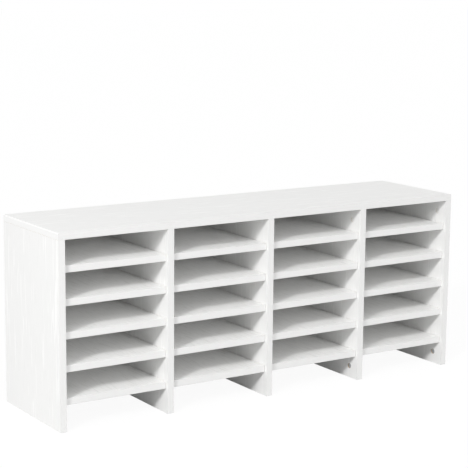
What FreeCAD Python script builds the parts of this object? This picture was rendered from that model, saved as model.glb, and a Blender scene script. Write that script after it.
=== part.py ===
import FreeCAD, Part
import os
import Sketcher
from FreeCAD import Placement, Rotation, Vector

# A pigeonhole mail sorter of melamine-faced chipboard. Five uprights stand on the floor and carry
# one top panel. Between them lie four columns of five loose shelves, each on four steel pins.
# Below the lowest shelves there is an open bay as high as a pigeonhole. A thin back closes the
# rear. Cam locks under white caps join the top to the uprights, and bare ones at the lower ends
# take bolts out of whatever the sorter is fixed to.
#
# Frame: X runs to the right, seen from the front, and is 0 at the middle. The front faces -Y.
# Z is up from the floor. Lengths are in millimetres.

COLUMNS = 4
ROWS = 5
UPRIGHTS = COLUMNS + 1
NAILS_PER_UPRIGHT = 5
TOP_NAILS_PER_COLUMN = 2

X_AXIS = Vector(1, 0, 0)
Y_AXIS = Vector(0, 1, 0)
Z_AXIS = Vector(0, 0, 1)

# ---------------------------------------------------------------- driving dimensions

DIMENSIONS = [
    ("board", 18, "thickness of every board: top, uprights and shelves"),
    ("opening_width", 294, "clear width of a pigeonhole"),
    ("opening_height", 67, "clear height of a pigeonhole"),
    ("bay_height", 67, "clear height below the lowest shelves"),
    ("carcass_depth", 322, "front of the sorter to the rear of its boards"),
    ("back_thickness", 3, "hardboard back"),
    ("back_inset", 1, "back panel inside the outline, all round"),
    ("edge_thickness", 1, "strip glued on a visible board edge"),
    ("edge_round", 0.5, "radius along the outer corners of a strip"),
    ("shelf_setback", 10, "shelf front behind the front of the uprights"),
    ("shelf_end_gap", 0.75, "running gap at each end of a shelf"),
    ("shelf_rear_gap", 1, "gap between a shelf and the back"),
    ("fastener_setback", 37, "front or rear face to the nearest row of fittings"),
    ("dowel_spacing", 32, "cam bolt to the dowel beside it"),
    ("pin_diameter", 5, "hole for a shelf pin"),
    ("pin_clearance", 0.05, "gap round a pin in its hole"),
    ("pin_stem", 7.5, "length of a pin inside its board"),
    ("pin_hole_depth", 8, "depth of that hole"),
    ("pin_seat", 3.5, "pin axis to the shelf that lies on it"),
    ("pin_flange", 1, "thickness of the round flange against the board"),
    ("pin_tongue", 7, "flat tongue beyond the flange"),
    ("pin_tongue_width", 6, "width of the tongue"),
    ("pin_tongue_foot", 1, "tongue below the pin's axis"),
    ("cam_diameter", 15, "pocket of a cam lock"),
    ("cam_clearance", 0.1, "gap round a cam lock"),
    ("cam_offset", 34, "end of an upright to the middle of a cam lock"),
    ("cam_past_bolt", 4.5, "cam lock beyond the axis of its bolt"),
    ("cam_recess", 2, "slotted face of a cam lock below the face of its board"),
    ("cam_slot_length", 9, "screwdriver cross in the cam's face"),
    ("cam_slot_width", 1.6, "width of one arm of the cross"),
    ("cam_slot_depth", 2, "depth of the cross"),
    ("cap_thickness", 1.5, "disc of a cover cap, in the pocket on top of its cam lock"),
    ("cap_round", 0.4, "radius round the outer rim of a cover cap"),
    ("cap_peg", 1.5, "cross under the cap that goes into the cam's cross"),
    ("cap_clearance", 0.1, "gap round that cross"),
    ("lower_bore", 8, "hole for a bolt out of whatever stands below"),
    ("upper_bore", 7, "hole for a cam bolt in the top end of an upright"),
    ("bolt_thread", 5, "thread that screws into the top panel"),
    ("bolt_thread_length", 11, "length of that thread"),
    ("bolt_shank", 6, "plain shank of a cam bolt"),
    ("bolt_shank_gap", 0.5, "end of the shank to the cam's pocket"),
    ("bolt_neck", 4, "neck that the cam closes on"),
    ("bolt_head", 6.8, "head of a cam bolt"),
    ("bolt_head_lead", 2.1, "near side of the head to the cam's axis"),
    ("bolt_head_length", 3.6, "thickness of the head"),
    ("bolt_clearance", 0.2, "gap round the bolt inside the cam"),
    ("dowel_diameter", 8, "beech dowel and its holes"),
    ("dowel_in_top", 11, "dowel inside the top panel"),
    ("dowel_in_upright", 24, "dowel inside an upright"),
    ("dowel_end_gap", 1, "hole beyond each end of a dowel"),
    ("dowel_chamfer", 1, "bevel at the ends of a dowel"),
    ("nail_diameter", 1.6, "nail that holds the back"),
    ("nail_length", 20, "nail from the back's rear face to its tip"),
    ("nail_head", 4.5, "flat head of a nail"),
    ("nail_head_thickness", 0.8, "head, driven flush with the back"),
    ("nail_end_margin", 46, "end of an upright to its nearest nail"),
]

doc = FreeCAD.newDocument("MailSorter")
sizes = doc.addObject("Spreadsheet::Sheet", "sizes")
for row, (alias, number, meaning) in enumerate(DIMENSIONS, start=1):
    sizes.set(f"A{row}", meaning)
    sizes.set(f"B{row}", str(number))
    sizes.setAlias(f"B{row}", alias)
doc.recompute()

# ---------------------------------------------------------------- sizes worked out from them

COLUMN_PITCH = "(sizes.opening_width + sizes.board)"
ROW_PITCH = "(sizes.opening_height + sizes.board)"
WIDTH = f"({COLUMNS} * {COLUMN_PITCH} + sizes.board)"
UPRIGHT_HEIGHT = f"({ROWS} * {ROW_PITCH} + sizes.bay_height)"
HEIGHT = f"({UPRIGHT_HEIGHT} + sizes.board)"
FRONT = "(-(sizes.carcass_depth + sizes.back_thickness) / 2)"
REAR = f"({FRONT} + sizes.carcass_depth)"
BOARD_FRONT = f"({FRONT} + sizes.edge_thickness)"
BOARD_DEPTH = "(sizes.carcass_depth - sizes.edge_thickness)"

# Rows of fittings, measured back from the front of a board behind its strip.
FRONT_ROW = "(sizes.fastener_setback - sizes.edge_thickness)"
REAR_ROW = f"({BOARD_DEPTH} - sizes.fastener_setback)"
FRONT_DOWEL = f"({FRONT_ROW} + sizes.dowel_spacing)"
REAR_DOWEL = f"({REAR_ROW} - sizes.dowel_spacing)"
LOWER_CAM = "sizes.cam_offset"
UPPER_CAM = f"({UPRIGHT_HEIGHT} - sizes.cam_offset)"
CAM_REACH = "(sizes.board / 2 + sizes.cam_past_bolt)"
CAM_ACROSS = "(sizes.cam_diameter - 2 * sizes.cam_clearance)"
LOWEST_PIN = "(sizes.bay_height - sizes.pin_seat)"
NAIL_STEP = f"(({UPRIGHT_HEIGHT} - 2 * sizes.nail_end_margin) / {NAILS_PER_UPRIGHT - 1})"
TOP_NAILS = COLUMNS * TOP_NAILS_PER_COLUMN
TOP_NAIL_STEP = f"({COLUMN_PITCH} / {TOP_NAILS_PER_COLUMN})"
TOP_NAIL_START = f"((sizes.board + {TOP_NAIL_STEP}) / 2)"

SHELF_LENGTH = "(sizes.opening_width - 2 * sizes.shelf_end_gap)"
SHELF_FRONT = f"({FRONT} + sizes.shelf_setback)"
SHELF_DEPTH = (
    "(sizes.carcass_depth - sizes.shelf_setback - sizes.shelf_rear_gap"
    " - sizes.edge_thickness)"
)


def value(expression):
    """A size in millimetres, worked out from the sheet."""
    return float(sizes.evalExpression(expression))


def upright_left(index):
    """Left face of an upright, counted from 0 at the left."""
    return f"({index} * {COLUMN_PITCH} - {WIDTH} / 2)"


def upright_middle(index):
    return f"({upright_left(index)} + sizes.board / 2)"


def shelf_underside(row):
    """Underside of a shelf; row 1 is the highest."""
    return f"(sizes.bay_height + {ROWS - row} * {ROW_PITCH})"


# ---------------------------------------------------------------- ways of making a piece


def bind(thing, expressions):
    for name, expression in expressions.items():
        thing.setExpression(name, expression)


def place(thing, x, y, z):
    bind(thing, {"Placement.Base.x": x, "Placement.Base.y": y, "Placement.Base.z": z})


def origin_feature(body, role):
    for feature in body.Origin.OriginFeatures:
        if feature.Role == role:
            return feature
    raise ValueError(role)


def new_sketch(body, name, role, offset=None):
    """A sketch on one of the body's own origin planes, moved along the plane's normal."""
    sketch = body.newObject("Sketcher::SketchObject", name)
    sketch.AttachmentSupport = [(origin_feature(body, role), "")]
    sketch.MapMode = "FlatFace"
    if offset:
        sketch.setExpression("AttachmentOffset.Base.z", offset)
    return sketch


def set_distance(sketch, label, kind, first, second, expression):
    """A named distance between two points of a sketch, bound to an expression."""
    index = sketch.addConstraint(Sketcher.Constraint(kind, *first, *second, value(expression)))
    sketch.renameConstraint(index, label)
    sketch.setExpression(f"Constraints.{label}", expression)


def board_body(node, x_size, y_size, z_size):
    """A rectangular board from the body's origin: its outline in XY, padded up Z."""
    body = doc.addObject("PartDesign::Body", node)
    body.Label = node
    outline = new_sketch(body, f"{node}_outline", "XY_Plane")
    x_end = value(x_size)
    y_end = value(y_size)
    corners = [Vector(0, 0, 0), Vector(x_end, 0, 0), Vector(x_end, y_end, 0), Vector(0, y_end, 0)]
    for start in range(4):
        outline.addGeometry(Part.LineSegment(corners[start], corners[(start + 1) % 4]))
    for start in range(4):
        outline.addConstraint(Sketcher.Constraint("Coincident", start, 2, (start + 1) % 4, 1))
    for index, direction in enumerate(["Horizontal", "Vertical", "Horizontal", "Vertical"]):
        outline.addConstraint(Sketcher.Constraint(direction, index))
    outline.addConstraint(Sketcher.Constraint("Coincident", 0, 1, -1, 1))
    set_distance(outline, "x_size", "DistanceX", (0, 1), (0, 2), x_size)
    set_distance(outline, "y_size", "DistanceY", (1, 1), (1, 2), y_size)
    pad = body.newObject("PartDesign::Pad", f"{node}_board")
    pad.Profile = outline
    pad.setExpression("Length", z_size)
    outline.Visibility = False
    doc.recompute()
    return body


def drill(body, name, role, offset, centres, diameter, depth, into_plane):
    """Round holes of one size, cut from a sketch. into_plane reverses the cut to run up the normal."""
    sketch = new_sketch(body, f"{body.Name}_{name}_centres", role, offset)
    for index, (across, along) in enumerate(centres):
        centre = Vector(value(across), value(along), 0)
        circle = sketch.addGeometry(Part.Circle(centre, Z_AXIS, value(diameter) / 2))
        set_distance(sketch, f"across_{index}", "DistanceX", (-1, 1), (circle, 3), across)
        set_distance(sketch, f"along_{index}", "DistanceY", (-1, 1), (circle, 3), along)
        label = f"diameter_{index}"
        wide = sketch.addConstraint(Sketcher.Constraint("Diameter", circle, value(diameter)))
        sketch.renameConstraint(wide, label)
        sketch.setExpression(f"Constraints.{label}", diameter)
    pocket = body.newObject("PartDesign::Pocket", f"{body.Name}_{name}")
    pocket.Profile = sketch
    pocket.Reversed = into_plane
    pocket.setExpression("Length", depth)
    doc.recompute()
    return pocket


def repeat(body, feature, axis_role, count, length):
    """Copies of a cut in a row along one of the body's axes; length is from first to last."""
    pattern = body.newObject("PartDesign::LinearPattern", f"{feature.Name}_row")
    pattern.Originals = [feature]
    pattern.Direction = (origin_feature(body, axis_role), [""])
    pattern.Occurrences = count
    pattern.setExpression("Length", length)
    body.Tip = pattern
    doc.recompute()
    return pattern


def edge_strip(node, x_size, y_size, z_size, outer_face):
    """A glued strip. outer_face is the side that shows, such as (Y_AXIS, '0'), and is rounded."""
    body = board_body(node, x_size, y_size, z_size)
    pad = body.Tip
    axis, level = outer_face
    outer_edges = []
    for index, edge in enumerate(pad.Shape.Edges, start=1):
        heights = [vertex.Point.dot(axis) for vertex in edge.Vertexes]
        if all(abs(height - value(level)) < Part.Precision.confusion() for height in heights):
            outer_edges.append(f"Edge{index}")
    rounding = body.newObject("PartDesign::Fillet", f"{node}_rounding")
    rounding.Base = (pad, outer_edges)
    rounding.setExpression("Radius", "sizes.edge_round")
    doc.recompute()
    return body


def cylinder(name, diameter, length, start, direction="z"):
    """A round bar along one of the axes. It starts at start, measured along that axis."""
    bar = doc.addObject("Part::Cylinder", name)
    bar.Placement.Rotation = Rotation(Z_AXIS, {"x": X_AXIS, "y": Y_AXIS, "z": Z_AXIS}[direction])
    bind(bar, {"Radius": f"{diameter} / 2", "Height": length,
               f"Placement.Base.{direction}": start})
    return bar


def joined(name, pieces):
    whole = doc.addObject("Part::MultiFuse", name)
    whole.Shapes = pieces
    whole.Refine = True
    return whole


def group(node, pattern, placements):
    """Identical fasteners, each a solid of its own, in one node."""
    solids = []
    for placement in placements:
        copy = pattern.Shape.copy()
        copy.Placement = placement.multiply(pattern.Shape.Placement)
        solids.append(copy)
    feature = doc.addObject("Part::Feature", node)
    feature.Label = node
    feature.Shape = Part.makeCompound(solids)
    return feature


# ---------------------------------------------------------------- uprights

# The cam locks of an upright are all in one face: the right one on the left half of the sorter
# and on the middle divider, the left one on the rest.


def cams_on_right(index):
    return 2 * index <= COLUMNS


def drill_pins(body, side, face_offset, into_plane):
    centres = [(FRONT_ROW, LOWEST_PIN), (REAR_ROW, LOWEST_PIN)]
    holes = drill(body, f"pins_{side}", "YZ_Plane", face_offset, centres,
                  "sizes.pin_diameter", "sizes.pin_hole_depth", into_plane)
    repeat(body, holes, "Z_Axis", ROWS, f"{ROWS - 1} * {ROW_PITCH}")


def make_upright(index, node):
    body = board_body(node, "sizes.board", BOARD_DEPTH, UPRIGHT_HEIGHT)
    if index < COLUMNS:
        drill_pins(body, "right", "sizes.board", False)
    if index > 0:
        drill_pins(body, "left", "0", True)

    cam_centres = [(y, z) for y in (FRONT_ROW, REAR_ROW) for z in (LOWER_CAM, UPPER_CAM)]
    cam_face = "sizes.board" if cams_on_right(index) else "0"
    drill(body, "cam_pockets", "YZ_Plane", cam_face, cam_centres,
          "sizes.cam_diameter", CAM_REACH, not cams_on_right(index))

    bores = [("sizes.board / 2", FRONT_ROW), ("sizes.board / 2", REAR_ROW)]
    drill(body, "lower_bores", "XY_Plane", "0", bores, "sizes.lower_bore", LOWER_CAM, True)
    drill(body, "upper_bores", "XY_Plane", UPRIGHT_HEIGHT, bores,
          "sizes.upper_bore", "sizes.cam_offset", False)

    dowels = [("sizes.board / 2", FRONT_DOWEL), ("sizes.board / 2", REAR_DOWEL)]
    drill(body, "dowel_holes", "XY_Plane", UPRIGHT_HEIGHT, dowels,
          "sizes.dowel_diameter", "sizes.dowel_in_upright + sizes.dowel_end_gap", False)

    nail = drill(body, "nail_holes", "XZ_Plane", f"-{BOARD_DEPTH}",
                 [("sizes.board / 2", "sizes.nail_end_margin")],
                 "sizes.nail_diameter", "sizes.nail_length - sizes.back_thickness", True)
    repeat(body, nail, "Z_Axis", NAILS_PER_UPRIGHT, f"{NAILS_PER_UPRIGHT - 1} * {NAIL_STEP}")

    place(body, upright_left(index), BOARD_FRONT, "0")
    strip = edge_strip(f"{node}_edge", "sizes.board", "sizes.edge_thickness", UPRIGHT_HEIGHT,
                       (Y_AXIS, "0"))
    place(strip, upright_left(index), FRONT, "0")
    return [body, strip]


# ---------------------------------------------------------------- top and back


def make_top():
    """The top lies over the uprights. Its front and both ends carry strips."""
    inner_width = f"({WIDTH} - 2 * sizes.edge_thickness)"
    body = board_body("top_panel", inner_width, BOARD_DEPTH, "sizes.board")
    first_upright = "(sizes.board / 2 - sizes.edge_thickness)"
    all_uprights = f"{COLUMNS} * {COLUMN_PITCH}"

    bolts = drill(body, "bolt_holes", "XY_Plane", "0",
                  [(first_upright, FRONT_ROW), (first_upright, REAR_ROW)],
                  "sizes.bolt_thread", "sizes.bolt_thread_length", True)
    repeat(body, bolts, "X_Axis", UPRIGHTS, all_uprights)

    dowels = drill(body, "dowel_holes", "XY_Plane", "0",
                   [(first_upright, FRONT_DOWEL), (first_upright, REAR_DOWEL)],
                   "sizes.dowel_diameter", "sizes.dowel_in_top + sizes.dowel_end_gap", True)
    repeat(body, dowels, "X_Axis", UPRIGHTS, all_uprights)

    nails = drill(body, "nail_holes", "XZ_Plane", f"-{BOARD_DEPTH}",
                  [(f"{TOP_NAIL_START} - sizes.edge_thickness", "sizes.board / 2")],
                  "sizes.nail_diameter", "sizes.nail_length - sizes.back_thickness", True)
    repeat(body, nails, "X_Axis", TOP_NAILS, f"{TOP_NAILS - 1} * {TOP_NAIL_STEP}")
    place(body, f"sizes.edge_thickness - {WIDTH} / 2", BOARD_FRONT, UPRIGHT_HEIGHT)

    front = edge_strip("top_edge_front", WIDTH, "sizes.edge_thickness", "sizes.board", (Y_AXIS, "0"))
    place(front, f"-{WIDTH} / 2", FRONT, UPRIGHT_HEIGHT)
    end = edge_strip("top_edge_end", "sizes.edge_thickness", BOARD_DEPTH, "sizes.board", (X_AXIS, "0"))
    half_width = value(f"{WIDTH} / 2")
    joint = value(UPRIGHT_HEIGHT)
    ends = group("top_edge_ends", end, [
        Placement(Vector(-half_width, value(BOARD_FRONT), joint), Rotation()),
        Placement(Vector(half_width, value(REAR), joint), Rotation(Z_AXIS, 180)),
    ])
    return [body, front, ends]


def make_back():
    """Thin hardboard nailed to the rear edges, with a shallow seat round each nail head."""
    body = board_body("back_panel", f"({WIDTH} - 2 * sizes.back_inset)", "sizes.back_thickness",
                      f"({HEIGHT} - 2 * sizes.back_inset)")
    lowest = "(sizes.nail_end_margin - sizes.back_inset)"
    upright_line = [
        (f"({index} * {COLUMN_PITCH} + sizes.board / 2 - sizes.back_inset)", lowest)
        for index in range(UPRIGHTS)
    ]
    top_line = [(f"{TOP_NAIL_START} - sizes.back_inset",
                 f"{UPRIGHT_HEIGHT} + sizes.board / 2 - sizes.back_inset")]
    rear_face = "-sizes.back_thickness"
    for name, diameter, depth in [
        ("shanks", "sizes.nail_diameter", "sizes.back_thickness"),
        ("heads", "sizes.nail_head", "sizes.nail_head_thickness"),
    ]:
        holes = drill(body, f"upright_{name}", "XZ_Plane", rear_face, upright_line,
                      diameter, depth, True)
        repeat(body, holes, "Z_Axis", NAILS_PER_UPRIGHT, f"{NAILS_PER_UPRIGHT - 1} * {NAIL_STEP}")
        holes = drill(body, f"top_{name}", "XZ_Plane", rear_face, top_line, diameter, depth, True)
        repeat(body, holes, "X_Axis", TOP_NAILS, f"{TOP_NAILS - 1} * {TOP_NAIL_STEP}")
    place(body, f"sizes.back_inset - {WIDTH} / 2", REAR, "sizes.back_inset")
    return body


# ---------------------------------------------------------------- shelves


def make_shelf(column, row):
    """A loose shelf and the strip on its front; column 1 is at the left, row 1 at the top."""
    shelf_left = f"({upright_left(column - 1)} + sizes.board + sizes.shelf_end_gap)"
    shelf = doc.addObject("Part::Box", f"shelf_c{column}_r{row}")
    shelf.Label = shelf.Name
    bind(shelf, {"Length": SHELF_LENGTH, "Width": SHELF_DEPTH, "Height": "sizes.board"})
    place(shelf, shelf_left, f"{SHELF_FRONT} + sizes.edge_thickness", shelf_underside(row))
    strip = edge_strip(f"edge_c{column}_r{row}", SHELF_LENGTH, "sizes.edge_thickness",
                       "sizes.board", (Y_AXIS, "0"))
    place(strip, shelf_left, SHELF_FRONT, shelf_underside(row))
    return [shelf, strip]


# ---------------------------------------------------------------- fasteners

# Each fastener is made once, then repeated. FRONT_ROW and REAR_ROW are from the front of a board.


def row_y(row):
    return value(f"{BOARD_FRONT} + {row}")


def make_shelf_pins():
    """Steel pin: a stem in the board, a flange against it and a flat tongue under the shelf."""
    tongue = doc.addObject("Part::Box", "pin_tongue_plate")
    bind(tongue, {"Length": "sizes.pin_flange + sizes.pin_tongue",
                  "Width": "sizes.pin_tongue_width",
                  "Height": "sizes.pin_seat + sizes.pin_tongue_foot"})
    place(tongue, "0", "-sizes.pin_tongue_width / 2", "-sizes.pin_tongue_foot")
    pin = joined("shelf_pin", [
        cylinder("pin_stem_bar", "(sizes.pin_diameter - 2 * sizes.pin_clearance)",
                 "sizes.pin_stem", "-sizes.pin_stem", "x"),
        cylinder("pin_flange_disc", "(2 * sizes.pin_seat)", "sizes.pin_flange", "0", "x"),
        tongue,
    ])
    doc.recompute()
    places = []
    for column in range(1, COLUMNS + 1):
        left_face = value(f"{upright_left(column - 1)} + sizes.board")
        right_face = value(upright_left(column))
        for row in range(1, ROWS + 1):
            height = value(f"{shelf_underside(row)} - sizes.pin_seat")
            for line in (FRONT_ROW, REAR_ROW):
                places.append(Placement(Vector(left_face, row_y(line), height), Rotation()))
                places.append(Placement(Vector(right_face, row_y(line), height),
                                        Rotation(Z_AXIS, 180)))
    return group("shelf_pins", pin, places)


def cam_cross(name, gap, depth):
    """Two crossed bars that go in from the cam's slotted face; gap comes off them all round."""
    bars = []
    for arm, across, along in [("a", "length", "width"), ("b", "width", "length")]:
        bar = doc.addObject("Part::Box", f"{name}_{arm}")
        x_size = f"(sizes.cam_slot_{across} - 2 * {gap})"
        y_size = f"(sizes.cam_slot_{along} - 2 * {gap})"
        bind(bar, {"Length": x_size, "Width": y_size, "Height": depth})
        place(bar, f"-{x_size} / 2", f"-{y_size} / 2", f"-(sizes.cam_recess + {depth})")
        bars.append(bar)
    return bars


def cam_places(height, locked):
    """Where the cams at this height sit. Their Z points out of the board, whose face is at 0."""
    places = []
    for index in range(UPRIGHTS):
        outwards = X_AXIS if cams_on_right(index) else -X_AXIS
        face = value(f"{upright_left(index)} + sizes.board" if cams_on_right(index)
                     else upright_left(index))
        if locked:
            turn = Rotation(Z_AXIS, outwards.cross(Z_AXIS), outwards, "XYZ")
        else:
            turn = Rotation(-Z_AXIS.cross(outwards), -Z_AXIS, outwards, "XYZ")
        for line in (FRONT_ROW, REAR_ROW):
            places.append(Placement(Vector(face, row_y(line), value(height)), turn))
    return places


def make_cam_locks():
    """Zinc drum. Unlocked, it takes the bolt's head in through its mouth, along Y. Locked, a
    quarter turn on, it holds the head with the neck along X."""
    drum = cylinder("cam_drum", CAM_ACROSS, f"({CAM_REACH} - sizes.cam_recess)", f"-{CAM_REACH}")
    head_way = "(sizes.bolt_head + 2 * sizes.bolt_clearance)"
    neck_way = cylinder("cam_neck_way", "(sizes.bolt_neck + 2 * sizes.bolt_clearance)",
                        "sizes.cam_diameter / 2", "0", "x")
    head_room = cylinder("cam_head_room", head_way,
                         "(sizes.bolt_head_length + 2 * sizes.bolt_clearance)",
                         "sizes.bolt_head_lead - sizes.bolt_head_length - sizes.bolt_clearance",
                         "x")
    mouth = cylinder("cam_mouth", head_way, "sizes.cam_diameter / 2", "0", "y")
    for hollow in (neck_way, head_room, mouth):
        hollow.setExpression("Placement.Base.z", "-sizes.board / 2")
    cam = doc.addObject("Part::Cut", "cam_lock")
    cam.Base = drum
    cam.Tool = joined("cam_hollows", [neck_way, head_room, mouth]
                      + cam_cross("cam_slot", "0", "sizes.cam_slot_depth"))
    doc.recompute()
    return group("cam_locks", cam, cam_places(LOWER_CAM, False) + cam_places(UPPER_CAM, True))


def make_cam_caps():
    """White plastic caps. Only the upper cams have them, because the lower ones stay in reach."""
    disc = cylinder("cap_disc", CAM_ACROSS, "sizes.cap_thickness", "-sizes.cam_recess")
    doc.recompute()
    rounded = doc.addObject("Part::Fillet", "cap_rounded_disc")
    rounded.Base = disc
    radius = value("sizes.cap_round")
    outer_level = value("sizes.cap_thickness - sizes.cam_recess")
    rounded.Edges = [(index, radius, radius) for index, edge in enumerate(disc.Shape.Edges, start=1)
                     if edge.Curve.TypeId == "Part::GeomCircle"
                     and abs(edge.CenterOfMass.z - outer_level) < Part.Precision.confusion()]
    cap = joined("cam_cap", [rounded] + cam_cross("cap_peg", "sizes.cap_clearance", "sizes.cap_peg"))
    doc.recompute()
    return group("cam_caps", cap, cam_places(UPPER_CAM, True))


def make_cam_bolts():
    """Steel bolt that hangs from the top panel, with its head in an upper cam lock."""
    shank = "(sizes.cam_offset - sizes.cam_diameter / 2 - sizes.bolt_shank_gap)"
    head_start = "(sizes.cam_offset - sizes.bolt_head_lead)"
    bolt = joined("cam_bolt", [
        cylinder("bolt_thread_bar", "sizes.bolt_thread", "sizes.bolt_thread_length", "0"),
        cylinder("bolt_shank_bar", "sizes.bolt_shank", shank, f"-{shank}"),
        cylinder("bolt_neck_bar", "sizes.bolt_neck", head_start, f"-{head_start}"),
        cylinder("bolt_head_disc", "sizes.bolt_head", "sizes.bolt_head_length",
                 f"-({head_start} + sizes.bolt_head_length)"),
    ])
    doc.recompute()
    joint = value(UPRIGHT_HEIGHT)
    return group("cam_bolts", bolt, [
        Placement(Vector(value(upright_middle(index)), row_y(line), joint), Rotation())
        for index in range(UPRIGHTS) for line in (FRONT_ROW, REAR_ROW)
    ])


def make_dowels():
    bar = cylinder("dowel_bar", "sizes.dowel_diameter",
                   "sizes.dowel_in_top + sizes.dowel_in_upright", "-sizes.dowel_in_upright")
    doc.recompute()
    dowel = doc.addObject("Part::Chamfer", "dowel")
    dowel.Base = bar
    bevel = value("sizes.dowel_chamfer")
    dowel.Edges = [(index, bevel, bevel) for index, edge in enumerate(bar.Shape.Edges, start=1)
                   if edge.Curve.TypeId == "Part::GeomCircle"]
    doc.recompute()
    joint = value(UPRIGHT_HEIGHT)
    return group("dowels", dowel, [
        Placement(Vector(value(upright_middle(index)), row_y(line), joint), Rotation())
        for index in range(UPRIGHTS) for line in (FRONT_DOWEL, REAR_DOWEL)
    ])


def make_nails():
    """Flat-headed nails, driven forwards through the back."""
    nail = joined("nail", [
        cylinder("nail_shank_bar", "sizes.nail_diameter", "sizes.nail_length",
                 "-sizes.nail_length"),
        cylinder("nail_head_disc", "sizes.nail_head", "sizes.nail_head_thickness",
                 "-sizes.nail_head_thickness"),
    ])
    doc.recompute()
    rear_face = value(f"{REAR} + sizes.back_thickness")
    backwards = Rotation(Z_AXIS, Y_AXIS)
    spots = []
    for index in range(UPRIGHTS):
        for step in range(NAILS_PER_UPRIGHT):
            spots.append((upright_middle(index), f"sizes.nail_end_margin + {step} * {NAIL_STEP}"))
    for step in range(TOP_NAILS):
        spots.append((f"{TOP_NAIL_START} + {step} * {TOP_NAIL_STEP} - {WIDTH} / 2",
                      f"{UPRIGHT_HEIGHT} + sizes.board / 2"))
    return group("back_panel_nails", nail, [
        Placement(Vector(value(x), rear_face, value(z)), backwards) for x, z in spots
    ])


# ---------------------------------------------------------------- the sorter

UPRIGHT_NODES = ["left_side"] + [f"divider_{number}" for number in range(1, COLUMNS)] + ["right_side"]

nodes = []
for upright_index, upright_node in enumerate(UPRIGHT_NODES):
    nodes += make_upright(upright_index, upright_node)
nodes += make_top()
nodes.append(make_back())
for column_number in range(1, COLUMNS + 1):
    for row_number in range(1, ROWS + 1):
        nodes += make_shelf(column_number, row_number)
doc.recompute()
nodes += [make_shelf_pins(), make_cam_locks(), make_cam_caps(), make_cam_bolts(), make_dowels(),
          make_nails()]
doc.recompute()

# ---------------------------------------------------------------- checks and export

for thing in doc.Objects:
    if "Invalid" in thing.State or "Error" in thing.State:
        raise RuntimeError(f"{thing.Name} did not compute: {thing.State}")
for node in nodes:
    if node.Shape.isNull() or not node.Shape.isValid() or not node.Shape.Solids:
        raise RuntimeError(f"{node.Label} has no valid solid")

os.makedirs("parts", exist_ok=True)
for node in nodes:
    node.Shape.exportStep(f"parts/{node.Label}.step")
print(len(nodes), "nodes,", sum(len(node.Shape.Solids) for node in nodes), "solids")
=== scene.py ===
# %% [markdown]
# # A pigeonhole mail sorter
#
# Five uprights carry one long top. Between them lie four columns of five loose shelves. Every
# board but the thin back is chipboard faced with white melamine, embossed with a fine wood grain.
# The boards, the strips on their edges and all fittings arrive ready modelled at their real size.
# What is left to do is what makes white furniture look real: a grain that follows each board, raw
# chipboard where a board has no strip, and light that rounds the pigeonholes off into soft shade.

import math
from fnmatch import fnmatchcase

import bmesh
import bpy
from mathutils import Matrix, Vector


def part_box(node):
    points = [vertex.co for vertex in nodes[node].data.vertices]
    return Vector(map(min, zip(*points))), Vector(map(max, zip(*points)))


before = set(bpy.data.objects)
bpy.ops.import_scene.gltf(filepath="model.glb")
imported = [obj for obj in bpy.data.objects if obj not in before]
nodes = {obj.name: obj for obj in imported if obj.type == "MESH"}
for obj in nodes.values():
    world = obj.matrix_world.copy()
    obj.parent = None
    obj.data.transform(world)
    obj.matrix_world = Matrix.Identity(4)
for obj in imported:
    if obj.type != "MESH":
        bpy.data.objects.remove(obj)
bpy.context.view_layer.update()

# %% [markdown]
# The camera comes first, so that every later choice can be seen from where it matters. It stands
# to the left of the sorter and a little above it, far enough away that the top and the uprights
# hardly converge. A long lens then fills the square picture. The three angles turn the camera in
# this order: round the vertical, down towards the floor, and a slight tilt about its own axis.

# %% Set up the camera
IMAGE_WIDTH = 468
SENSOR_WIDTH = 36.0
FOCAL_LENGTH_PIXELS = 1478.5
CAMERA_PLACE = Vector((-2.217, -3.377, 1.159))
TURN_RIGHT = math.radians(33.12)
LOOK_DOWN = math.radians(10.30)
TILT = math.radians(0.54)

camera_data = bpy.data.cameras.new("camera")
camera_data.sensor_width = SENSOR_WIDTH
camera_data.lens = FOCAL_LENGTH_PIXELS * SENSOR_WIDTH / IMAGE_WIDTH
camera = bpy.data.objects.new("camera", camera_data)
camera.matrix_world = (
    Matrix.Translation(CAMERA_PLACE)
    @ Matrix.Rotation(-TURN_RIGHT, 4, "Z")
    @ Matrix.Rotation(math.radians(90) - LOOK_DOWN, 4, "X")
    @ Matrix.Rotation(TILT, 4, "Z")
)
bpy.context.scene.collection.objects.link(camera)
bpy.context.scene.camera = camera
print("lens", round(camera_data.lens, 1), "mm")

# %% [markdown]
# A few small helpers serve every material. Colours are written as the hex codes that a paint shop
# would use, which are sRGB, while Blender calculates with linear light, so one function converts
# them. Two more fill a node's inputs and add a node with its settings, so that each material
# below reads as a short list of steps. Inputs are called by name where each has a name of its own,
# and by number where several share one, as on Math nodes and on Mix nodes.

# %% Helpers for materials
def linear(code):
    """An sRGB hex code such as #EEEDEA as a linear colour with alpha."""
    channels = [int(code[start:start + 2], 16) / 255 for start in (1, 3, 5)]
    return [c / 12.92 if c <= 0.04045 else ((c + 0.055) / 1.055) ** 2.4 for c in channels] + [1.0]


def fill(node, inputs):
    """Fills inputs of a node, each from another node, from one of its outputs or with a value."""
    for socket, source in inputs.items():
        if isinstance(source, bpy.types.Node):
            source = source.outputs[0]
        if isinstance(source, bpy.types.NodeSocket):
            node.id_data.links.new(source, node.inputs[socket])
        else:
            node.inputs[socket].default_value = source


def add_node(owner, kind, inputs=None, **settings):
    """Adds a node to a material, a world or a lamp."""
    node = owner.node_tree.nodes.new(kind)
    for name, setting in settings.items():
        setattr(node, name, setting)
    fill(node, inputs or {})
    return node


def new_material(name):
    """A material with its Principled shader, still plain."""
    material = bpy.data.materials.new(name)
    material.use_nodes = True
    return material, material.node_tree.nodes["Principled BSDF"]


MM = 0.001
WHITE = (1.0, 1.0, 1.0, 1.0)
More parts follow.
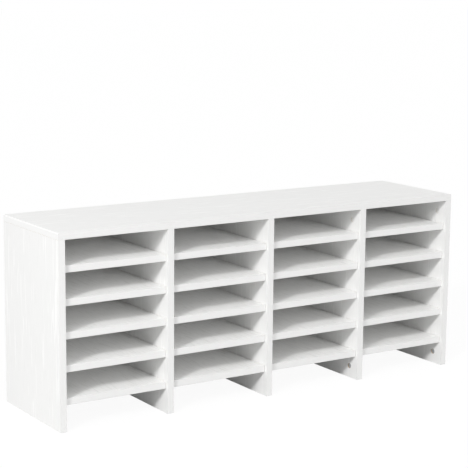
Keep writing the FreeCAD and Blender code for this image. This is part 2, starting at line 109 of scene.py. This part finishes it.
# A Mix node's inputs for two numbers, its inputs for two colours, and its output for a colour.
NUMBER_A, NUMBER_B = 2, 3
COLOUR_A, COLOUR_B = 6, 7
MIXED_COLOUR = 2
print("#808080 is", round(linear("#808080")[0], 3), "in linear light")

# %% [markdown]
# The floor belongs to the room, not to the sorter. It could be a large white plane, but then it
# would either burn out or turn grey. Here it has two faces. Light bounces off a plain pale paint.
# The camera, and a mirror, see a sheet that glows almost white by itself and is lit only a
# little, so it is white and still shows the sorter's shadow.

# %% Floor
FLOOR_SIZE = 60.0
FLOOR_PAINT = "#C8C8C8"
FLOOR_GLOW = 0.93
FLOOR_LIT_PART = 0.08


def seen_directly(owner):
    """1 for a ray from the camera, a mirror or glass, 0 for light that bounces about."""
    ray = add_node(owner, "ShaderNodeLightPath")
    seen = ray.outputs["Is Camera Ray"]
    for other in ("Is Glossy Ray", "Is Transmission Ray"):
        seen = add_node(owner, "ShaderNodeMath", {0: seen, 1: ray.outputs[other]}, operation="MAXIMUM")
    return seen


floor_mesh = bmesh.new()
bmesh.ops.create_grid(floor_mesh, x_segments=1, y_segments=1, size=FLOOR_SIZE / 2)
floor_data = bpy.data.meshes.new("floor")
floor_mesh.to_mesh(floor_data)
floor_mesh.free()
floor = bpy.data.objects.new("floor", floor_data)
bpy.context.scene.collection.objects.link(floor)

floor_paint, floor_shader = new_material("floor_paint")
fill(floor_shader, {"Base Color": linear(FLOOR_PAINT), "Roughness": 1.0, "Specular IOR Level": 0.0})
glow = add_node(floor_paint, "ShaderNodeEmission", {"Color": WHITE, "Strength": FLOOR_GLOW})
lit_part = add_node(floor_paint, "ShaderNodeBsdfDiffuse", {"Color": [FLOOR_LIT_PART] * 3 + [1.0]})
look = add_node(floor_paint, "ShaderNodeAddShader", {0: glow, 1: lit_part})
two_faced = add_node(floor_paint, "ShaderNodeMixShader",
                     {0: seen_directly(floor_paint), 1: floor_shader, 2: look})
fill(floor_paint.node_tree.nodes["Material Output"], {"Surface": two_faced})
floor_data.materials.append(floor_paint)
print("floor", FLOOR_SIZE, "m wide")

# %% [markdown]
# Five lights work together. The key light comes from the left, from two lamps whose shadows nearly
# agree. One is round and near, so its rays spread: they cross the nearest column steeply and rake
# over the farthest, and the edge of the light on each shelf bends differently. A near lamp would be
# far brighter on the left than on the right. The Light Falloff node's Linear output softens that,
# and a sun from the same side gives at least as much again, evenly over the whole sorter. A second
# sun shines almost level from the front, deep into the pigeonholes, and a third lies over the top.
# The angle of a sun says how large it looks from the sorter. The white room is the fifth. It is
# white for the camera and dimmer for the light that it gives.

# %% Lights and the room
NEAR_PLACE = (-1.9, -1.05, 1.2)
NEAR_RADIUS = 0.26
NEAR_WATTS = 20
SUNS = [
    # name, watts per square metre, angle across, direction in which the light travels
    ("far_key_light", 1.12, 7, (1.7, 1.0, -1.05)),
    ("front_light", 1.0, 12, (-0.1, 1.0, -0.22)),
    ("light_overhead", 0.34, 60, (0.1, 1.0, -1.6)),
]
ROOM_LIGHT = 0.52


def put_lamp(name, kind):
    """A lamp that lights the sorter but isn't seen itself."""
    lamp_data = bpy.data.lights.new(name, kind)
    lamp = bpy.data.objects.new(name, lamp_data)
    lamp.visible_camera = False
    bpy.context.scene.collection.objects.link(lamp)
    return lamp, lamp_data


near, near_data = put_lamp("near_key_lamp", "POINT")
near.location = NEAR_PLACE
near_data.energy = NEAR_WATTS
near_data.shadow_soft_size = NEAR_RADIUS
near_data.use_nodes = True
softened = add_node(near_data, "ShaderNodeLightFalloff", {"Strength": 1.0})
fill(near_data.node_tree.nodes["Emission"], {"Strength": softened.outputs["Linear"]})

for name, strength, angle, travel in SUNS:
    sun, sun_data = put_lamp(name, "SUN")
    sun.rotation_mode = "QUATERNION"
    sun.rotation_quaternion = Vector(travel).to_track_quat("-Z", "Y")
    sun_data.energy = strength
    sun_data.angle = math.radians(angle)

room = bpy.data.worlds.new("room")
bpy.context.scene.world = room
room.use_nodes = True
level = add_node(room, "ShaderNodeMapRange",
                 {"Value": seen_directly(room), "To Min": ROOM_LIGHT, "To Max": 1.0})
fill(room.node_tree.nodes["Background"], {"Color": WHITE, "Strength": level})
bpy.context.scene.view_settings.view_transform = "Standard"
print(1 + len(SUNS), "lamps, room light", ROOM_LIGHT)

# %% [markdown]
# Melamine board is chipboard with a sheet of resin-soaked paper pressed onto each face. The press
# plate embosses the sheet like wood, so white melamine isn't plain: short pores and long soft
# streaks run along the board. The streaks are a little smoother, and they are drawn paler as
# painted sheen; the pores are drawn darker as painted shade. A picture of real board could be
# wrapped round each piece, but it would stretch or show its seams. Noise can be worked out
# anywhere instead. It is squeezed across the grain and drawn out along it.

# %% A grain that runs along one axis
def stretched(width, length, axis):
    """How often marks of this width and length repeat per metre, along X, Y and Z."""
    return [1 / length if name == axis else 1 / width for name in "XYZ"]


def grain_marks(material, axis, width, length, detail=2.0):
    """Noise from 0 to 1 whose marks are width across the grain and length along it."""
    place = add_node(material, "ShaderNodeTexCoord")
    drawn_out = add_node(material, "ShaderNodeVectorMath",
                         {0: place.outputs["Object"], 1: stretched(width, length, axis)},
                         operation="MULTIPLY")
    return add_node(material, "ShaderNodeTexNoise",
                    {"Vector": drawn_out, "Scale": 1.0, "Detail": detail})


print("marks of 1 by 10 mm along Z repeat", [round(n) for n in stretched(MM, 10 * MM, "Z")],
      "times a metre")

# %% [markdown]
# Where a board has no strip, the saw has cut through the chipboard. It is pressed from three
# layers: coarse flat chips in the middle and fine dust towards each face. The chips lie flat, so
# on the cut they show as short dashes along the board. Cells of a Voronoi pattern, flattened
# across the board, give each chip a colour of its own. The distance from the board's middle tells
# the layers apart. It repeats from board to board, because all boards of a kind are evenly spaced.
# The top is the only board of its kind, and gets a pitch that is larger than the sorter is high.

# %% Raw chipboard on a sawn edge
CHIP_LENGTH = 5 * MM
CHIP_THICKNESS = 1.1 * MM
CHIP_TONES = ("#9A7B54", "#DAC29C")
DUST_GRAIN = 0.9 * MM
DUST_TONES = ("#AF9470", "#CFB896")
CORE_HALF = 5.5 * MM
CORE_BLUR = 1.5 * MM
NO_REPEAT = 1.0


def off_middle(material, axis, first_middle, pitch):
    """How far a point is from its board's middle, with middles at first_middle + n * pitch."""
    place = add_node(material, "ShaderNodeTexCoord")
    along = add_node(material, "ShaderNodeSeparateXYZ", {0: place.outputs["Object"]}).outputs[axis]
    from_first = add_node(material, "ShaderNodeMath", {0: along, 1: first_middle}, operation="SUBTRACT")
    return add_node(material, "ShaderNodeMath", {0: from_first, 1: pitch / 2, 2: -pitch / 2},
                    operation="WRAP")


def chipboard_edge(material, face_axis, first_middle, pitch):
    """Colour of the sawn edge of the boards whose middles are at first_middle + n * pitch."""
    place = add_node(material, "ShaderNodeTexCoord")
    flat = add_node(material, "ShaderNodeVectorMath",
                    {0: place.outputs["Object"], 1: stretched(CHIP_LENGTH, CHIP_THICKNESS, face_axis)},
                    operation="MULTIPLY")
    chips = add_node(material, "ShaderNodeTexVoronoi", {"Vector": flat, "Scale": 1.0})
    one_chip = add_node(material, "ShaderNodeSeparateColor", {0: chips.outputs["Color"]})
    core = add_node(material, "ShaderNodeMix",
                    {"Factor": one_chip, COLOUR_A: linear(CHIP_TONES[0]), COLOUR_B: linear(CHIP_TONES[1])},
                    data_type="RGBA").outputs[MIXED_COLOUR]
    dust = add_node(material, "ShaderNodeTexNoise",
                    {"Vector": place.outputs["Object"], "Scale": 1 / DUST_GRAIN, "Detail": 1.0})
    skin = add_node(material, "ShaderNodeMix",
                    {"Factor": dust, COLOUR_A: linear(DUST_TONES[0]), COLOUR_B: linear(DUST_TONES[1])},
                    data_type="RGBA").outputs[MIXED_COLOUR]
    middle_out = off_middle(material, face_axis, first_middle, pitch)
    depth = add_node(material, "ShaderNodeMath", {0: middle_out}, operation="ABSOLUTE")
    outside_core = add_node(material, "ShaderNodeMapRange",
                            {"Value": depth, "From Min": CORE_HALF - CORE_BLUR,
                             "From Max": CORE_HALF + CORE_BLUR})
    return add_node(material, "ShaderNodeMix", {"Factor": outside_core, COLOUR_A: core, COLOUR_B: skin},
                    data_type="RGBA").outputs[MIXED_COLOUR]


print("core", 2 * CORE_HALF / MM, "mm thick, chips", CHIP_LENGTH / MM, "mm long")

# %% [markdown]
# The outer faces of the sides carry a painted highlight near the front: more of the pale, smooth
# streaks show there, and fewer further down. The place says where: how near a point is to the
# front, how high it is, and whether it is on an outer face.

# %% A painted highlight near the front of the sides
SIDE_HIGHLIGHT_WIDTH = 40 * MM
SIDE_HIGHLIGHT_FROM = 60 * MM
SIDE_HIGHLIGHT_ABOVE = 240 * MM
SIDE_HIGHLIGHT_MORE = 0.2
FACE_MARGIN = 1 * MM


def painted_side_highlight(material):
    """Painted highlight added to the streaks: most at the upper front of the outer faces, and 0 elsewhere.
    """
    place = add_node(material, "ShaderNodeTexCoord")
    spot = add_node(material, "ShaderNodeSeparateXYZ", {0: place.outputs["Object"]})
    (low_x, front, _), (high_x, _, _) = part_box("left_side")[0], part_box("right_side")[1]
    near_front = add_node(material, "ShaderNodeMapRange",
                          {"Value": spot.outputs["Y"], "From Min": front,
                           "From Max": front + SIDE_HIGHLIGHT_WIDTH, "To Min": SIDE_HIGHLIGHT_MORE, "To Max": 0.0})
    high_up = add_node(material, "ShaderNodeMapRange",
                       {"Value": spot.outputs["Z"], "From Min": SIDE_HIGHLIGHT_FROM, "From Max": SIDE_HIGHLIGHT_ABOVE})
    sideways = add_node(material, "ShaderNodeMath", {0: spot.outputs["X"]}, operation="ABSOLUTE")
    is_outside = add_node(material, "ShaderNodeMath",
                          {0: sideways, 1: min(-low_x, high_x) - FACE_MARGIN}, operation="GREATER_THAN")
    both = add_node(material, "ShaderNodeMath", {0: near_front, 1: high_up}, operation="MULTIPLY")
    return add_node(material, "ShaderNodeMath", {0: both, 1: is_outside}, operation="MULTIPLY")


print("painted_side_highlight", SIDE_HIGHLIGHT_WIDTH / MM, "mm wide, fading out from", SIDE_HIGHLIGHT_ABOVE / MM, "mm down")

# %% [markdown]
# Now the whole board. The paper is neutral white, and its embossing is so fine that it scatters
# every reflection and leaves the board matt. Real pores are about 0.3 mm wide, too fine to show
# from here, so they are drawn wider and shallower, and darker than the paper as painted shade.
# The face towards the axis across the board is paper, and everything else is a sawn edge.

# %% Melamine-faced chipboard
PORE_WIDTH = 3 * MM
PORE_LENGTH = 50 * MM
PORE_DEPTH = 0.15 * MM
EMBOSSING = 0.6
STREAK_WIDTH = 7 * MM
STREAK_LENGTH = 110 * MM
# Noise below the first number leaves no mark, and noise above the second leaves a full one.
PORE_RANGE = (0.52, 0.70)
STREAK_RANGE = (0.62, 0.67)
PAPER_STREAK_AND_SHEEN = "#FAFAF9"
PAPER_PORE_SHADE = "#E6E6E4"
PAPER_ROUGHNESS = 0.75
STREAK_ROUGHNESS = 0.65
SAWN_ROUGHNESS = 0.85
# A normal that leans less than 60 degrees from an axis has more than this along it.
FACING = 0.5


def melamine_board(name, grain_axis, face_axis, first_middle, pitch, white_paper, pore_shade, with_side_highlight=False):
    """Embossed white melamine: matt, with pores darkened as painted shade and smoother streaks drawn paler
    as painted sheen.
    """
    material, shader = new_material(name)
    pore_marks = grain_marks(material, grain_axis, PORE_WIDTH, PORE_LENGTH)
    pores = add_node(material, "ShaderNodeMapRange",
                     {"Value": pore_marks, "From Min": PORE_RANGE[0], "From Max": PORE_RANGE[1]})
    streak_marks = grain_marks(material, grain_axis, STREAK_WIDTH, STREAK_LENGTH)
    # On the sides, painted highlight is added here: more pale streaks near the upper front of the outer
    # faces.
    if with_side_highlight:
        streak_marks = add_node(material, "ShaderNodeMath", {0: streak_marks, 1: painted_side_highlight(material)},
                                operation="ADD")
    streaks = add_node(material, "ShaderNodeMapRange",
                       {"Value": streak_marks, "From Min": STREAK_RANGE[0], "From Max": STREAK_RANGE[1]})
    # The streaks are drawn paler than the paper: partly grain, partly painted sheen.
    paper = add_node(material, "ShaderNodeMix",
                     {"Factor": streaks, COLOUR_A: linear(white_paper), COLOUR_B: linear(PAPER_STREAK_AND_SHEEN)},
                     data_type="RGBA").outputs[MIXED_COLOUR]
    # Painted shade: the pores are darkened towards a grey white.
    pore_shade_amount = add_node(material, "ShaderNodeMath", {0: pores, 1: pore_shade}, operation="MULTIPLY")
    white = add_node(material, "ShaderNodeMix",
                     {"Factor": pore_shade_amount, COLOUR_A: paper, COLOUR_B: linear(PAPER_PORE_SHADE)},
                     data_type="RGBA").outputs[MIXED_COLOUR]

    place = add_node(material, "ShaderNodeTexCoord")
    normal = add_node(material, "ShaderNodeSeparateXYZ", {0: place.outputs["Normal"]}).outputs[face_axis]
    straight_out = add_node(material, "ShaderNodeMath", {0: normal}, operation="ABSOLUTE")
    is_face = add_node(material, "ShaderNodeMath", {0: straight_out, 1: FACING}, operation="GREATER_THAN")
    sawn = chipboard_edge(material, face_axis, first_middle, pitch)
    colour = add_node(material, "ShaderNodeMix", {"Factor": is_face, COLOUR_A: sawn, COLOUR_B: white},
                      data_type="RGBA").outputs[MIXED_COLOUR]

    matt = add_node(material, "ShaderNodeMapRange",
                    {"Value": streaks, "To Min": PAPER_ROUGHNESS, "To Max": STREAK_ROUGHNESS})
    rough = add_node(material, "ShaderNodeMix",
                     {"Factor": is_face, NUMBER_A: SAWN_ROUGHNESS, NUMBER_B: matt})
    emboss = add_node(material, "ShaderNodeBump",
                      {"Height": pores, "Distance": PORE_DEPTH, "Strength": EMBOSSING}, invert=True)
    fill(shader, {"Base Color": colour, "Roughness": rough, "Normal": emboss})
    return material


print("pores drawn", PORE_WIDTH / MM, "mm wide and", PORE_LENGTH / MM, "mm long")

# %% [markdown]
# Every board gets this finish with its own grain: up the uprights, along the top, and from front
# to back on the shelves. The shelves' paper is drawn a shade whiter, painted light that brightens
# their tops deep in the pigeonholes, and their pores carry more painted shade. Where the boards
# are is measured on the boards themselves.

# %% Boards of three kinds
CARCASS_PAPER = "#F3F3F2"
# The shelves' paper is drawn whiter than the carcass's as painted light, to brighten their tops in the
# pigeonholes.
SHELF_PAPER_PAINTED_LIGHT = "#F7F7F6"
CARCASS_PORE_SHADE = 0.25
SHELF_PORE_SHADE = 0.7


def middle(node, axis):
    """Where the middle of a board is along an axis, in metres."""
    low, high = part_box(node)
    return (low["XYZ".index(axis)] + high["XYZ".index(axis)]) / 2


upright_pitch = middle("divider_1", "X") - middle("left_side", "X")
shelf_pitch = middle("shelf_c1_r4", "Z") - middle("shelf_c1_r5", "Z")
melamine_upright = melamine_board("melamine_upright", "Z", "X", middle("left_side", "X"), upright_pitch,
                                  CARCASS_PAPER, CARCASS_PORE_SHADE, with_side_highlight=True)
melamine_top = melamine_board("melamine_top", "X", "Z", middle("top_panel", "Z"), NO_REPEAT,
                              CARCASS_PAPER, CARCASS_PORE_SHADE)
melamine_shelf = melamine_board("melamine_shelf", "Y", "Z", middle("shelf_c1_r5", "Z"), shelf_pitch,
                                SHELF_PAPER_PAINTED_LIGHT, SHELF_PORE_SHADE)
print("uprights every", round(upright_pitch / MM), "mm, shelves every", round(shelf_pitch / MM), "mm")

# %% [markdown]
# The edge strips are ABS, extruded as a flat tape and glued on hot. The tape leaves the die with
# faint lines along its length, and it is embossed a little so that it doesn't shine. The strips
# that face forward are drawn greyer than the paper: partly their own white, partly painted shade,
# because they face the lamps most. The lines run along each strip, so there is one material for
# each of the three directions. The ends of the top have the palest strip, and a white line along
# their upper corner is a painted highlight where the rounded corner would catch the light. On the
# real strip it would be about 1 mm wide, too fine to show from here, so it is drawn 3 mm wide.

# %% ABS edge strips
STRIP_LINE_WIDTH = 1.6 * MM
STRIP_LINE_LENGTH = 220 * MM
STRIP_LINE_DEPTH = 0.05 * MM
STRIP_RELIEF = 0.5
STRIP_ROUGHNESS = (0.32, 0.48)
# The forward-facing strips: partly their own white, partly painted shade, because they face the lamps most.
SHADED_STRIP_WHITES = ("#D9D9D8", "#E0E0DF")
END_STRIP_WHITES = ("#F1F1F0", "#F5F5F4")
# Painted highlight: a white line along the upper corner of the top's end strips.
HIGHLIGHT_LINE_WHITE = "#FCFCFB"
HIGHLIGHT_LINE_WIDTH = 3 * MM
HIGHLIGHT_LINE_BLUR = 0.6 * MM
BOARD_HALF = 9 * MM


def edge_strip(name, axis, whites=SHADED_STRIP_WHITES, corner_highlight=None):
    """Extruded white ABS: satin, with faint drawn lines along the strip."""
    material, shader = new_material(name)
    lines = grain_marks(material, axis, STRIP_LINE_WIDTH, STRIP_LINE_LENGTH)
    white = add_node(material, "ShaderNodeMix",
                     {"Factor": lines, COLOUR_A: linear(whites[0]), COLOUR_B: linear(whites[1])},
                     data_type="RGBA").outputs[MIXED_COLOUR]
    # Painted highlight: the upper corner of the end strips is drawn white, as if it caught the light.
    if corner_highlight:
        height = off_middle(material, "Z", middle("top_panel", "Z"), NO_REPEAT)
        highlight_line = add_node(material, "ShaderNodeMapRange",
                          {"Value": height, "From Min": BOARD_HALF - HIGHLIGHT_LINE_WIDTH - HIGHLIGHT_LINE_BLUR,
                           "From Max": BOARD_HALF - HIGHLIGHT_LINE_WIDTH + HIGHLIGHT_LINE_BLUR})
        white = add_node(material, "ShaderNodeMix",
                         {"Factor": highlight_line, COLOUR_A: white, COLOUR_B: linear(corner_highlight)},
                         data_type="RGBA").outputs[MIXED_COLOUR]
    satin = add_node(material, "ShaderNodeMapRange",
                     {"Value": lines, "To Min": STRIP_ROUGHNESS[0], "To Max": STRIP_ROUGHNESS[1]})
    drawn = add_node(material, "ShaderNodeBump",
                     {"Height": lines, "Distance": STRIP_LINE_DEPTH, "Strength": STRIP_RELIEF})
    fill(shader, {"Base Color": white, "Roughness": satin, "Normal": drawn})
    return material


strip_x = edge_strip("abs_edging_lengthwise", "X")
strip_y = edge_strip("abs_edging_front_to_back", "Y", END_STRIP_WHITES, corner_highlight=HIGHLIGHT_LINE_WHITE)
strip_z = edge_strip("abs_edging_upright", "Z")
print("lines on the strips drawn", STRIP_LINE_WIDTH / MM, "mm apart")

# %% [markdown]
# The back is hardboard, 3 mm of wood fibre pressed hot on a wire screen. Its smooth side faces
# into the pigeonholes and has a coat of white lacquer, which also runs over its edges. The other
# side keeps the fibre's brown and the print of the screen. Two Wave textures that cross at right
# angles make that print. The real wires are about 1.5 mm apart, too fine to show from here, so
# they are drawn 4 mm apart.

# %% Hardboard back
SCREEN_PITCH = 4 * MM
SCREEN_DEPTH = 0.25 * MM
FIBRE_SIZE = 9 * MM
FIBRE_TONES = ("#5F452F", "#9C7850")
LACQUER_RIPPLE = 3 * MM
LACQUER_WHITES = ("#E8E8E5", "#EFEFED")
BARE_ROUGHNESS = 0.75
LACQUER_ROUGHNESS = 0.4
NO_PRINT = 0.5
# A Wave texture repeats every pi / 10 of its scaled coordinate.
WAVE_PERIOD = math.pi / 10

hardboard, hardboard_shader = new_material("lacquered_hardboard")
place = add_node(hardboard, "ShaderNodeTexCoord")
fibre = add_node(hardboard, "ShaderNodeTexNoise",
                 {"Vector": place.outputs["Object"], "Scale": 1 / FIBRE_SIZE, "Detail": 6.0,
                  "Roughness": 0.65})
brown = add_node(hardboard, "ShaderNodeMix",
                 {"Factor": fibre, COLOUR_A: linear(FIBRE_TONES[0]), COLOUR_B: linear(FIBRE_TONES[1])},
                 data_type="RGBA").outputs[MIXED_COLOUR]
wires = [add_node(hardboard, "ShaderNodeTexWave",
                  {"Vector": place.outputs["Object"], "Scale": WAVE_PERIOD / SCREEN_PITCH},
                  bands_direction=direction) for direction in "XZ"]
screen = add_node(hardboard, "ShaderNodeMath",
                  {0: wires[0].outputs["Fac"], 1: wires[1].outputs["Fac"]}, operation="MAXIMUM")
ripple = add_node(hardboard, "ShaderNodeTexNoise",
                  {"Vector": place.outputs["Object"], "Scale": 1 / LACQUER_RIPPLE, "Detail": 1.0})
lacquer = add_node(hardboard, "ShaderNodeMix",
                   {"Factor": ripple, COLOUR_A: linear(LACQUER_WHITES[0]),
                    COLOUR_B: linear(LACQUER_WHITES[1])},
                   data_type="RGBA").outputs[MIXED_COLOUR]
backwards = add_node(hardboard, "ShaderNodeSeparateXYZ", {0: place.outputs["Normal"]}).outputs["Y"]
is_lacquered = add_node(hardboard, "ShaderNodeMath", {0: backwards, 1: FACING}, operation="LESS_THAN")
colour = add_node(hardboard, "ShaderNodeMix",
                  {"Factor": is_lacquered, COLOUR_A: brown, COLOUR_B: lacquer},
                  data_type="RGBA").outputs[MIXED_COLOUR]
relief = add_node(hardboard, "ShaderNodeMix",
                  {"Factor": is_lacquered, NUMBER_A: screen, NUMBER_B: NO_PRINT})
print_of_wires = add_node(hardboard, "ShaderNodeBump", {"Height": relief, "Distance": SCREEN_DEPTH})
rough = add_node(hardboard, "ShaderNodeMix",
                 {"Factor": is_lacquered, NUMBER_A: BARE_ROUGHNESS, NUMBER_B: LACQUER_ROUGHNESS})
fill(hardboard_shader, {"Base Color": colour, "Roughness": rough, "Normal": print_of_wires})
print("screen drawn every", SCREEN_PITCH / MM, "mm")

# %% [markdown]
# The small fittings are of four kinds. Cam locks are zinc, cast in a steel mould and tumbled, so
# they are soft grey without clear reflections. White caps cover the upper ones. They are moulded
# polyethylene, which is waxy and slightly uneven. Both finishes are one function, a mottle that
# changes the colour and the gloss from grain to grain and raises the surface a little.

# %% Zinc and polyethylene
CAST_GRAIN = 1.2 * MM
ZINC_TONES = ("#B4B6B8", "#CDCFD0")
MOULD_GRAIN = 1.5 * MM
CAP_WHITES = ("#EAEAE8", "#F0F0EE")
# A grain is this many times wider than it is high.
GRAIN_FLATNESS = 30


def mottled(name, grain, colours, roughness, metallic):
    """Cast or moulded finish whose colour and gloss vary from grain to grain."""
    material, shader = new_material(name)
    place = add_node(material, "ShaderNodeTexCoord")
    mottle = add_node(material, "ShaderNodeTexNoise",
                      {"Vector": place.outputs["Object"], "Scale": 1 / grain, "Detail": 3.0})
    colour = add_node(material, "ShaderNodeMix",
                      {"Factor": mottle, COLOUR_A: linear(colours[0]), COLOUR_B: linear(colours[1])},
                      data_type="RGBA").outputs[MIXED_COLOUR]
    gloss = add_node(material, "ShaderNodeMapRange",
                     {"Value": mottle, "To Min": roughness[0], "To Max": roughness[1]})
    skin = add_node(material, "ShaderNodeBump", {"Height": mottle, "Distance": grain / GRAIN_FLATNESS})
    fill(shader, {"Base Color": colour, "Roughness": gloss, "Normal": skin, "Metallic": metallic})
    return material


zinc = mottled("zinc_die_cast", CAST_GRAIN, ZINC_TONES, roughness=(0.5, 0.7), metallic=1.0)
polyethylene = mottled("polyethylene_moulded", MOULD_GRAIN, CAP_WHITES, roughness=(0.4, 0.55), metallic=0.0)
print("grains of", CAST_GRAIN / MM, "mm on the locks and", MOULD_GRAIN / MM, "mm on the caps")

# %% [markdown]
# Shelf pins, cam bolts and nails are turned or drawn steel with a thin nickel coat, which makes a
# warm bright metal. Handling scratches it, so the gloss is broken by fine lines. They run across
# the sorter, along the pins, because those show most.

# %% Nickel-plated steel
SCRATCH_WIDTH = 0.6 * MM
SCRATCH_LENGTH = 12 * MM
NICKEL_TONES = ("#BDB6A8", "#DAD5CA")
NICKEL_ROUGHNESS = (0.2, 0.42)

nickel, nickel_shader = new_material("nickel_plated_steel")
scratches = grain_marks(nickel, "X", SCRATCH_WIDTH, SCRATCH_LENGTH, detail=4.0)
gloss = add_node(nickel, "ShaderNodeMapRange",
                 {"Value": scratches, "To Min": NICKEL_ROUGHNESS[0], "To Max": NICKEL_ROUGHNESS[1]})
tone = add_node(nickel, "ShaderNodeMix",
                {"Factor": scratches, COLOUR_A: linear(NICKEL_TONES[0]), COLOUR_B: linear(NICKEL_TONES[1])},
                data_type="RGBA").outputs[MIXED_COLOUR]
fill(nickel_shader, {"Base Color": tone, "Roughness": gloss, "Metallic": 1.0})
print("scratches", SCRATCH_LENGTH / MM, "mm long")

# %% [markdown]
# Beech is pinkish brown with short dark flecks, the rays of the wood cut lengthwise. The dowels
# are turned from it with the grain along them, and the flecks follow the same noise as the pores
# of the melamine, only shorter and darker.

# %% Beech dowels
FLECK_WIDTH = 0.5 * MM
FLECK_LENGTH = 3 * MM
FLECK_RANGE = (0.58, 0.66)
FLECK_BROWN = "#8A5F3C"
RING_WIDTH = 2.5 * MM
RING_LENGTH = 60 * MM
RING_TONES = ("#B98B60", "#D8B083")
BEECH_ROUGHNESS = 0.6

beech, beech_shader = new_material("turned_beech")
rings = grain_marks(beech, "Z", RING_WIDTH, RING_LENGTH)
wood = add_node(beech, "ShaderNodeMix",
                {"Factor": rings, COLOUR_A: linear(RING_TONES[0]), COLOUR_B: linear(RING_TONES[1])},
                data_type="RGBA").outputs[MIXED_COLOUR]
fleck_marks = grain_marks(beech, "Z", FLECK_WIDTH, FLECK_LENGTH)
flecks = add_node(beech, "ShaderNodeMapRange",
                  {"Value": fleck_marks, "From Min": FLECK_RANGE[0], "From Max": FLECK_RANGE[1]})
speckled = add_node(beech, "ShaderNodeMix",
                    {"Factor": flecks, COLOUR_A: wood, COLOUR_B: linear(FLECK_BROWN)},
                    data_type="RGBA").outputs[MIXED_COLOUR]
fill(beech_shader, {"Base Color": speckled, "Roughness": BEECH_ROUGHNESS})
print("flecks", FLECK_LENGTH / MM, "mm long")

# %% [markdown]
# Last, every piece gets its finish. The names of the pieces say what they are, so one list of
# names is enough. A question mark in it stands for any column, row or number, a star stands for
# any beginning, and a piece that matches nothing stops the script.

# %% Give each piece its finish
FINISHES = {
    "top_panel": melamine_top,
    "left_side": melamine_upright,
    "divider_?": melamine_upright,
    "right_side": melamine_upright,
    "shelf_c?_r?": melamine_shelf,
    "top_edge_ends": strip_y,
    "top_edge_front": strip_x,
    "edge_c?_r?": strip_x,
    "*_edge": strip_z,
    "back_panel": hardboard,
    "cam_locks": zinc,
    "cam_caps": polyethylene,
    "shelf_pins": nickel,
    "cam_bolts": nickel,
    "back_panel_nails": nickel,
    "dowels": beech,
}

for name, node in nodes.items():
    finish = next(material for pattern, material in FINISHES.items() if fnmatchcase(name, pattern))
    node.data.materials.clear()
    node.data.materials.append(finish)
print(len(nodes), "pieces dressed")
